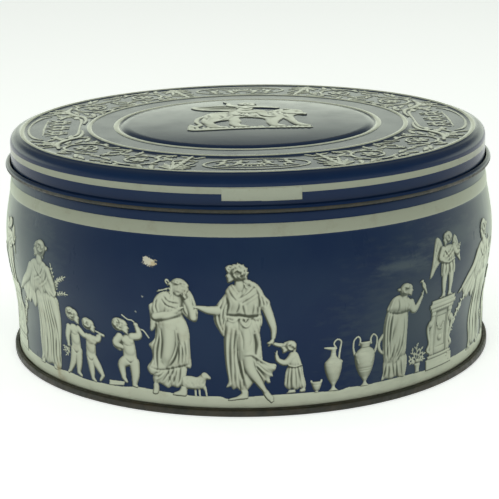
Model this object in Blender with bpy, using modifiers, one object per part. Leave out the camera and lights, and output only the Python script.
"""Round lift-lid cookie tin of pressed tinplate, 244 mm across and 113 mm high.

The origin is the centre of the base, +Z is up and +Y is the back, where the side seam is.
Every piece of sheet metal is one turned line, the face of the sheet that the line names, with
the sheet's thickness added behind it by Solidify. Sheets that touch on the real tin keep a gap.
"""

import math

import bpy

MM = 0.001

# Sheet and turning
SHEET = 0.30 * MM            # tinplate thickness
GAP = 0.30 * MM              # between layers that touch on the real tin
STEPS = 48                   # facets round every turned piece
BELLY_LINES = 11             # straight lengths that the belly is drawn with
MERGE = 0.01 * MM            # below every real distance here

# Body wall, all on its outer face
WALL_R = 117.4 * MM          # straight foot of the wall, and its shoulder under the lid
BULGE = 4.6 * MM             # how far the belly stands out from WALL_R
BELLY_Z = 59.0 * MM          # height of the widest point
BULGE_UP = 30.0 * MM         # from the belly up to the shoulder
BULGE_DOWN = 40.0 * MM       # from the belly down to the straight foot
FULLNESS_UP = 1.35           # power of the cosine: a lower power is a fuller belly
FULLNESS_DOWN = 2.0
LEDGE_TOP_Z = 93.0 * MM      # step from the neck out to the shoulder, under the lid's hem
LEDGE_LOW_Z = 92.4 * MM
NECK_R = 116.6 * MM          # straight neck inside the lid
MOUTH_HEM_Z = 105.6 * MM     # centre of the mouth's rolled hem
MOUTH_HEM_R = 1.4 * MM       # outer radius of that roll

# Base and its double seam
SEAM_R = 120.0 * MM          # outside of the seam
SEAM_TOP = 3.6 * MM
SEAM_BEVEL = 0.6 * MM        # cut across the seam's corners
COVER_END_Z = 1.7 * MM       # where the base's turned-down edge ends, between wall and hook
HOOK_R = 0.45 * MM           # inner radius of the fold at the wall's foot
HOOK_TOP = 2.6 * MM
PANEL_Z = 3.2 * MM           # upper face of the base panel
PANEL_CORNER = 1.2 * MM      # from the panel down into the seam
BEAD_R = 98.0 * MM           # stiffening bead pressed into the base
BEAD_HALF = 4.0 * MM
BEAD_FLAT = 0.4              # share of the bead that is flat on top
BEAD_RISE = 1.2 * MM
COMPOUND_LOW = 1.0 * MM
COMPOUND_TOP = 2.4 * MM

# Lid, all on its outer face
CROWN_Z = 113.2 * MM         # top of the domed medallion
DOME_R = 61.5 * MM
DOME_RISE = 2.45 * MM
GROOVE_R = 63.0 * MM         # groove round the dome
GROOVE_Z = 109.9 * MM
BAND_IN_R = 64.2 * MM        # plain raised band between the two inner rings
BAND_OUT_R = 79.6 * MM
BAND_Z = 110.5 * MM
FIELD_IN_R = 80.4 * MM       # sunk field of the ornament
FIELD_OUT_R = 109.4 * MM
FIELD_Z = 109.7 * MM
RING_IN_R = 110.0 * MM       # outer ring
RING_OUT_R = 112.4 * MM
RING_Z = 110.2 * MM
SKIRT_R = 117.3 * MM
SHOULDER_R = 4.0 * MM        # rounding between the top and the skirt
SHOULDER_Z = 105.6 * MM
LID_HEM_Z = 94.8 * MM        # centre of the lid's rolled hem
LID_HEM_R = 1.2 * MM         # inner radius of that roll

# Lock seam, folded inwards at the back of the wall
FOLD = 0.9 * MM              # thickness of the folded layers
FOLD_DEG = 3.0               # width of the fold, as an angle round the tin
FOLD_CLEAR = 0.45 * MM       # between the fold and the facets of the wall
FOLD_TOP_Z = 103.4 * MM
FOLD_LEDGE_Z = 93.4 * MM
FOLD_END_Z = 5.0 * MM

BLUE = (0.02, 0.035, 0.10, 1.0)
TINPLATE = (0.62, 0.61, 0.57, 1.0)
COMPOUND = (0.10, 0.09, 0.08, 1.0)


def clear_scene():
    for old in list(bpy.data.objects):
        bpy.data.objects.remove(old, do_unlink=True)


def material(name, colour, roughness, metallic):
    made = bpy.data.materials.new(name)
    made.use_nodes = True
    shader = made.node_tree.nodes["Principled BSDF"]
    shader.inputs["Base Color"].default_value = colour
    shader.inputs["Roughness"].default_value = roughness
    shader.inputs["Metallic"].default_value = metallic
    made.diffuse_color = colour
    return made


def turned(name, points, collection, paint, closed=False, degrees=360.0, steps=STEPS):
    """A line of (radius, height) points, turned about Z."""
    edges = [(i, i + 1) for i in range(len(points) - 1)]
    if closed:
        edges.append((len(points) - 1, 0))
    mesh = bpy.data.meshes.new(name)
    mesh.from_pydata([(radius, 0.0, height) for radius, height in points], edges, [])
    mesh.materials.append(paint)
    made = bpy.data.objects.new(name, mesh)
    collection.objects.link(made)
    turn = made.modifiers.new("Turn", "SCREW")
    turn.axis = "Z"
    turn.angle = math.radians(degrees)
    turn.steps = steps
    turn.render_steps = steps
    turn.use_merge_vertices = True
    turn.merge_threshold = MERGE
    turn.use_smooth_shade = True
    return made


def turned_sheet(name, points, collection, paint, thickness=SHEET, degrees=360.0, steps=STEPS):
    """Sheet metal. Its line runs outwards and down, and the sheet lies behind the line."""
    made = turned(name, points, collection, paint, degrees=degrees, steps=steps)
    plate = made.modifiers.new("Sheet", "SOLIDIFY")
    plate.thickness = thickness
    plate.offset = -1.0
    plate.use_even_offset = True
    plate.use_rim = True
    return made


def arc(centre_r, centre_z, radius, start_deg, end_deg, pieces):
    """Points on an arc in the (radius, height) plane, both ends included."""
    found = []
    for i in range(pieces + 1):
        angle = math.radians(start_deg + (end_deg - start_deg) * i / pieces)
        found.append((centre_r + radius * math.cos(angle), centre_z + radius * math.sin(angle)))
    return found


def wall_radius(height):
    """Outer radius of the wall: a straight foot, a belly and a straight shoulder."""
    above = height > BELLY_Z
    reach = BULGE_UP if above else BULGE_DOWN
    power = FULLNESS_UP if above else FULLNESS_DOWN
    share = min(1.0, abs(height - BELLY_Z) / reach)
    return WALL_R + BULGE * max(0.0, math.cos(0.5 * math.pi * share)) ** power


def belly(inset=0.0):
    """The wall between its shoulder and its foot, from the top down."""
    top, low = BELLY_Z + BULGE_UP, BELLY_Z - BULGE_DOWN
    heights = [top + (low - top) * i / BELLY_LINES for i in range(BELLY_LINES + 1)]
    return [(wall_radius(z) - inset, z) for z in heights]


def body_wall(collection, paint):
    """Mouth hem rolled inwards, neck, ledge, belly, and the fold that the base grips."""
    mouth = arc(NECK_R - MOUTH_HEM_R, MOUTH_HEM_Z, MOUTH_HEM_R, 290.0, 0.0, 7)
    ledge = [(NECK_R, LEDGE_TOP_Z), (WALL_R, LEDGE_LOW_Z)]
    hook_z = SHEET + GAP + SHEET + HOOK_R
    hook = arc(WALL_R + HOOK_R, hook_z, HOOK_R, 180.0, 360.0, 4)
    end = [(WALL_R + 2.0 * HOOK_R, HOOK_TOP)]
    return turned_sheet("body_wall", mouth + ledge + belly() + hook + end, collection, paint)


def base_plate(collection, paint):
    """Pressed base. Its edge runs out under the wall's fold, up round it and down behind it."""
    bead = [
        (BEAD_R - BEAD_HALF, PANEL_Z),
        (BEAD_R - BEAD_FLAT * BEAD_HALF, PANEL_Z + BEAD_RISE),
        (BEAD_R + BEAD_FLAT * BEAD_HALF, PANEL_Z + BEAD_RISE),
        (BEAD_R + BEAD_HALF, PANEL_Z),
    ]
    inner_r = WALL_R - SHEET - GAP
    outer_r = SEAM_R - SHEET
    cover_r = WALL_R + GAP + SHEET
    top_z = SEAM_TOP - SHEET
    seam = [
        (inner_r - PANEL_CORNER, PANEL_Z),
        (inner_r, PANEL_Z - PANEL_CORNER),
        (inner_r, SHEET + SEAM_BEVEL),
        (inner_r + SEAM_BEVEL, SHEET),
        (outer_r - SEAM_BEVEL, SHEET),
        (outer_r, SHEET + SEAM_BEVEL),
        (outer_r, top_z - SEAM_BEVEL),
        (outer_r - SEAM_BEVEL, top_z),
        (cover_r + SEAM_BEVEL, top_z),
        (cover_r, top_z - SEAM_BEVEL),
        (cover_r, COVER_END_Z),
    ]
    return turned_sheet("base_plate", [(0.0, PANEL_Z)] + bead + seam, collection, paint)


def base_seam_compound(collection, paint):
    """Sealing compound in the seam, between the wall's fold and the seam's outer layer."""
    inner = WALL_R + 2.0 * HOOK_R + SHEET + GAP
    outer = SEAM_R - SHEET - GAP
    section = [
        (outer, COMPOUND_TOP),
        (outer, COMPOUND_LOW),
        (inner, COMPOUND_LOW),
        (inner, COMPOUND_TOP),
    ]
    return turned("base_seam_compound", section, collection, paint, closed=True)


def side_seam(collection, paint):
    """The lock seam's folded layers, lying inside the wall from the base to the mouth hem."""
    inset = SHEET + FOLD_CLEAR
    neck = [(NECK_R - inset, FOLD_TOP_Z), (NECK_R - inset, FOLD_LEDGE_Z)]
    foot = [(WALL_R - inset, FOLD_END_Z)]
    made = turned_sheet("side_seam", neck + belly(inset) + foot, collection, paint,
                        thickness=FOLD, degrees=FOLD_DEG, steps=2)
    made.rotation_euler.z = math.radians(90.0 - 0.5 * FOLD_DEG)
    return made


def lid_shell(collection, paint):
    """Drawn lid: domed medallion, plain band, sunk field, outer ring, skirt and rolled hem."""
    dome = []
    for share in (0.0, 0.45, 0.75, 1.0):
        dome.append((DOME_R * share, CROWN_Z - DOME_RISE * share ** 2))
    top = [
        (GROOVE_R, GROOVE_Z),
        (BAND_IN_R, BAND_Z),
        (BAND_OUT_R, BAND_Z),
        (FIELD_IN_R, FIELD_Z),
        (FIELD_OUT_R, FIELD_Z),
        (RING_IN_R, RING_Z),
        (RING_OUT_R, RING_Z),
    ]
    shoulder = arc(SKIRT_R - SHOULDER_R, SHOULDER_Z, SHOULDER_R, 80.0, 0.0, 4)
    hem = arc(SKIRT_R + LID_HEM_R, LID_HEM_Z, LID_HEM_R, 180.0, 470.0, 8)
    return turned_sheet("lid_shell", dome + top + shoulder + hem, collection, paint)


def main():
    clear_scene()
    tin = bpy.data.collections.new("cookie_tin")
    bpy.context.scene.collection.children.link(tin)
    blue = material("blue_lacquer", BLUE, 0.30, 0.0)
    plain = material("plain_tinplate", TINPLATE, 0.35, 1.0)
    sealing = material("seam_compound", COMPOUND, 0.80, 0.0)
    body_wall(tin, blue)
    base_plate(tin, plain)
    base_seam_compound(tin, sealing)
    side_seam(tin, plain)
    lid_shell(tin, blue)


main()
